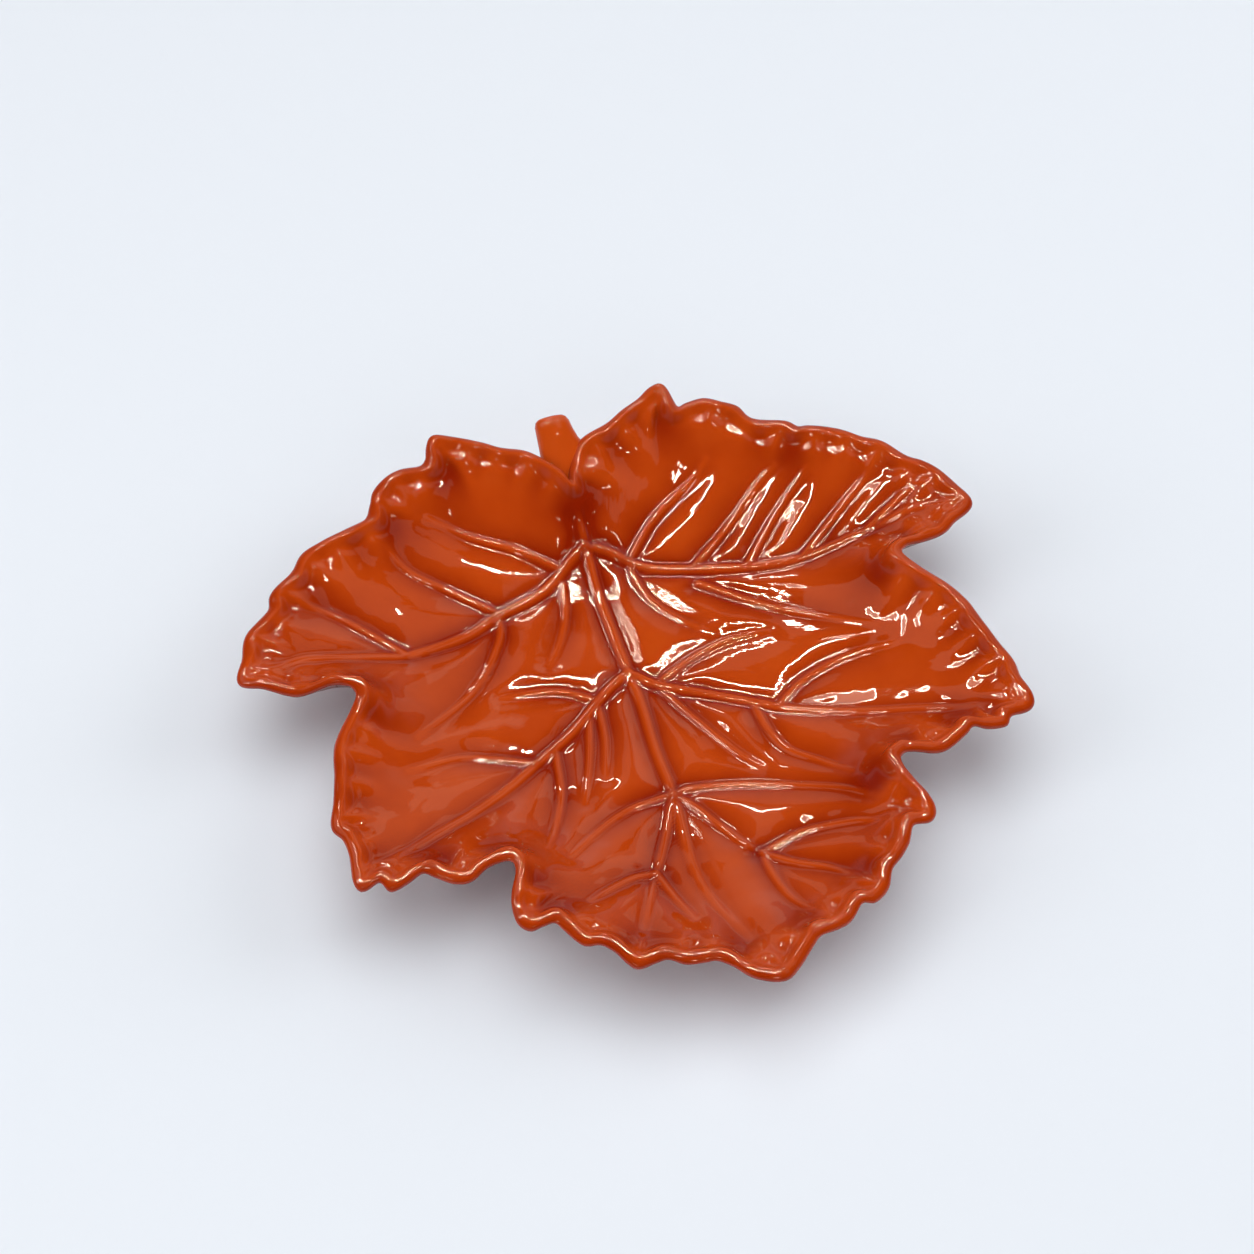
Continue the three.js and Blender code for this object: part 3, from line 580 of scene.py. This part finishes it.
def glazedEarthenware():
    material, tree = newMaterial("glazedEarthenware")
    place = addNode(tree, "ShaderNodeTexCoord").outputs["Object"]
    glazeAndPaintedLight = addNode(tree, "ShaderNodeAttribute", attribute_name="glazeThinAndPaintedLight").outputs["Fac"]
    cloudRun, cloudShare = glaze["cloud"]
    cloud = addNode(tree, "ShaderNodeTexNoise", {
        "Vector": place, "Scale": mmPerMetre / cloudRun, "Detail": 3, "Roughness": 0.55})
    shade = addNode(tree, "ShaderNodeMath", {
        0: cloud.outputs["Fac"], 1: cloudShare, 2: glazeAndPaintedLight}, operation="MULTIPLY_ADD")
    ramp = addNode(tree, "ShaderNodeValToRGB", {"Fac": shade.outputs[0]}, stops=glaze["tones"])
    waveRun, waveHeight, waveStrength = glaze["ripple"]
    ripple = addNode(tree, "ShaderNodeTexNoise", {
        "Vector": place, "Scale": mmPerMetre / waveRun, "Detail": 1, "Roughness": 0.4})
    waves = addNode(tree, "ShaderNodeBump", {
        "Height": ripple.outputs["Fac"], "Strength": waveStrength, "Distance": waveHeight / mmPerMetre})
    stroke = addNode(tree, "ShaderNodeAttribute", attribute_name="brushed").outputs["Vector"]
    strokes = addNode(tree, "ShaderNodeTexNoise", {"Vector": stroke, "Scale": 1, "Detail": 1})
    strokeHeight, strokeStrength = glaze["brushed"]
    bump = addNode(tree, "ShaderNodeBump", {
        "Height": strokes.outputs["Fac"], "Strength": strokeStrength,
        "Distance": strokeHeight / mmPerMetre, "Normal": waves.outputs["Normal"]})
    shader = addNode(tree, "ShaderNodeBsdfPrincipled", {
        "Base Color": ramp.outputs["Color"], "Roughness": glaze["roughness"], "IOR": glaze["ior"],
        "Normal": bump.outputs["Normal"]})
    addNode(tree, "ShaderNodeOutputMaterial", {"Surface": shader.outputs[0]})
    return material


# biscuit clay: bare, dry and slightly gritty where the ring was wiped before firing
clay = {
    "tones": [(0.35, "#c9a985"), (0.6, "#dcc7ad")],
    "grit": (1.1, 0.2, 0.3),    # mm from grain to grain and high, and how strongly it shows
    "roughness": 0.75,
}


def biscuitClay():
    material, tree = newMaterial("biscuitClay")
    place = addNode(tree, "ShaderNodeTexCoord").outputs["Object"]
    gritRun, gritHeight, gritStrength = clay["grit"]
    grit = addNode(tree, "ShaderNodeTexNoise", {
        "Vector": place, "Scale": mmPerMetre / gritRun, "Detail": 4}).outputs["Fac"]
    ramp = addNode(tree, "ShaderNodeValToRGB", {"Fac": grit}, stops=clay["tones"])
    bump = addNode(tree, "ShaderNodeBump", {
        "Height": grit, "Strength": gritStrength, "Distance": gritHeight / mmPerMetre})
    shader = addNode(tree, "ShaderNodeBsdfPrincipled", {
        "Base Color": ramp.outputs["Color"], "Roughness": clay["roughness"],
        "Normal": bump.outputs["Normal"]})
    addNode(tree, "ShaderNodeOutputMaterial", {"Surface": shader.outputs[0]})
    return material


leafGlaze = glazedEarthenware()
buildLeaf(leafGlaze)
buildStalk(leafGlaze)
buildFoot(biscuitClay())

# studio: pale paper, four broad soft lamps that shade the dish, warm panes and tubes, some in bright
# frames, that only glint in the glaze, and a dim tent of clouded cloth, darkest in front and paler low down
studio = {
    "floor": "#e6ebf2",
    "floorHalf": 4,                     # metres from the middle to each side
    "floorRoughness": 0.9,
    "floorGloss": 0.1,
    "tentSide": (0.35, 0.75, 0.56),     # the bright side of the tent
    # how far round to that side, and the grey there
    "tent": [(0.5, "#18191a"), (0.7, "#252627"), (0.85, "#363739"), (1, "#4c4e51")],
    "clothScale": 2.4,                  # how fine the cloth's clouding is
    "clothEdge": (0.42, 0.58),          # how sharp its edges are
    "clothLight": (0.35, 1.3),          # how bright its dim and its bright parts are
    "horizon": (0.2, 0.5, "#8a8c90"),   # height up to which the pale band is full, and at which it ends
    "lampAway": 2.4,
    "frameWidth": 0.02,
    "tint": "#fff2d6",                  # of the lamps that glint
    # direction of each lamp's middle, metres long and deep, how bright its face is and its frame, and
    # what it does: shade the scene, or glint in the glaze
    "lamps": {
        "sky": ((-0.05, 0.1, 0.99), 3.0, 2.6, 2.02, 0, "shade"),
        "side": ((-0.85, 0.05, 0.5), 1.4, 1.6, 3.0, 0, "shade"),
        "fill": ((0.85, 0, 0.5), 1.4, 1.6, 3.2, 0, "shade"),
        "low": ((0, -0.85, 0.5), 2.0, 1.2, 1.3, 0, "shade"),
        "window": ((0.1, 0.66, 0.74), 0.55, 0.9, 0.5, 0, "glint"),
        "sash": ((0.48, 0.62, 0.62), 0.55, 0.9, 0.5, 0, "glint"),
        "doorway": ((0.67, 0.5, 0.55), 1.25, 1.6, 0.45, 0, "glint"),
        "skylight": ((0.43, 0.08, 0.9), 1.1, 0.8, 0.55, 0, "glint"),
        "casement": ((-0.56, 0.36, 0.74), 1.2, 1.1, 0.75, 0, "glint"),
        "sill": ((0.2, 0.89, 0.4), 1.6, 0.8, 0.42, 0, "glint"),
        "strip": ((0.02, 0.25, 0.97), 2.0, 0.014, 560, 0, "glint"),
        "overhead": ((-0.23, 0.44, 0.87), 0.28, 0.24, 4, 140, "glint"),
        "crest": ((0.2, -0.3, 0.93), 0.1, 0.06, 60, 0, "glint"),
        "left": ((-0.64, 0.23, 0.73), 0.26, 0.22, 4, 140, "glint"),
        "front": ((-0.4, -0.57, 0.72), 0.16, 0.16, 6, 130, "glint"),
        "back": ((0.1, 0.74, 0.66), 0.5, 0.04, 80, 0, "glint"),
    },
}


def buildStudio():
    bm = bmesh.new()
    bmesh.ops.create_grid(bm, x_segments=1, y_segments=1, size=studio["floorHalf"])
    mesh = bpy.data.meshes.new("floor")
    bm.to_mesh(mesh)
    bm.free()
    floor = bpy.data.objects.new("floor", mesh)
    bpy.context.scene.collection.objects.link(floor)
    material, tree = newMaterial("paperSweep")
    shader = addNode(tree, "ShaderNodeBsdfPrincipled", {
        "Base Color": linear(studio["floor"]), "Roughness": studio["floorRoughness"],
        "Specular IOR Level": studio["floorGloss"]})
    addNode(tree, "ShaderNodeOutputMaterial", {"Surface": shader.outputs[0]})
    mesh.materials.append(material)
    world = bpy.data.worlds.new("tent")
    bpy.context.scene.world = world
    world.use_nodes = True
    tree = world.node_tree
    tree.nodes.clear()
    ray = addNode(tree, "ShaderNodeTexCoord").outputs["Generated"]
    toward = addNode(tree, "ShaderNodeVectorMath", {0: ray, 1: studio["tentSide"]}, operation="DOT_PRODUCT")
    ramp = addNode(tree, "ShaderNodeValToRGB", {"Fac": toward.outputs["Value"]}, stops=studio["tent"])
    full, end, grey = studio["horizon"]
    height = addNode(tree, "ShaderNodeSeparateXYZ", {0: ray}).outputs["Z"]
    low = addNode(tree, "ShaderNodeMapRange", {
        "Value": height, "From Min": full, "From Max": end, "To Min": 1, "To Max": 0},
        interpolation_type="SMOOTHSTEP")
    sky = addNode(tree, "ShaderNodeMix", {
        0: low.outputs[0], 6: ramp.outputs["Color"], 7: linear(grey)}, data_type="RGBA")
    clouds = addNode(tree, "ShaderNodeTexNoise", {
        "Vector": ray, "Scale": studio["clothScale"], "Detail": 1})
    (first, last), (dim, bright) = studio["clothEdge"], studio["clothLight"]
    cloth = addNode(tree, "ShaderNodeMapRange", {
        "Value": clouds.outputs["Fac"], "From Min": first, "From Max": last, "To Min": dim, "To Max": bright})
    tent = addNode(tree, "ShaderNodeBackground", {"Color": sky.outputs[2], "Strength": cloth.outputs[0]})
    addNode(tree, "ShaderNodeOutputWorld", {"Surface": tent.outputs[0]})
    # each lamp faces the dish; a frame is a strip along each of its sides
    for name, (side, length, depth, face, edge, task) in studio["lamps"].items():
        facing = Vector(side).normalized()
        turn = facing.to_track_quat("Z", "Y")
        strip = studio["frameWidth"]
        faces = [(name, 0, 0, length, depth, face)]
        if edge:
            faces += [
                (name + "Near", 0, -depth / 2, length, strip, edge),
                (name + "Far", 0, depth / 2, length, strip, edge),
                (name + "Left", -length / 2, 0, strip, depth, edge),
                (name + "Right", length / 2, 0, strip, depth, edge),
            ]
        for title, x, y, sizeX, sizeY, bright in faces:
            light = bpy.data.lights.new(title, "AREA")
            light.shape = "RECTANGLE"
            light.size, light.size_y = sizeX, sizeY
            light.energy = bright * math.pi * sizeX * sizeY
            lamp = bpy.data.objects.new(title, light)
            lamp.rotation_mode = "QUATERNION"
            lamp.rotation_quaternion = turn
            lamp.location = facing * studio["lampAway"] + turn @ Vector((x, y, 0))
            lamp.visible_camera = False
            lamp.visible_glossy = task == "glint"
            lamp.visible_diffuse = task == "shade"
            if task == "glint":
                light.color = linear(studio["tint"])[:3]
            bpy.context.scene.collection.objects.link(lamp)


# camera: millimetres in the frame, at the photograph's height and angle
view = {
    "place": (-159.9, -461.2, 647.8),
    "target": (3.43, 36.23, 17.25),
    "lens": 74.69,
    "sensor": 36,
    "shift": (0.0002, -0.0105),
    "clip": (0.01, 20),                 # metres
}


def setCamera():
    camera = bpy.data.objects.new("camera", bpy.data.cameras.new("camera"))
    camera.data.lens = view["lens"]
    camera.data.sensor_width = view["sensor"]
    camera.data.shift_x, camera.data.shift_y = view["shift"]
    camera.data.clip_start, camera.data.clip_end = view["clip"]
    place, target = Vector(view["place"]), Vector(view["target"])
    camera.location = place / mmPerMetre
    camera.rotation_euler = (target - place).to_track_quat("-Z", "Y").to_euler()
    bpy.context.scene.collection.objects.link(camera)
    bpy.context.scene.camera = camera


buildStudio()
setCamera()
bpy.context.scene.view_settings.view_transform = "Standard"
print("studio and camera set")
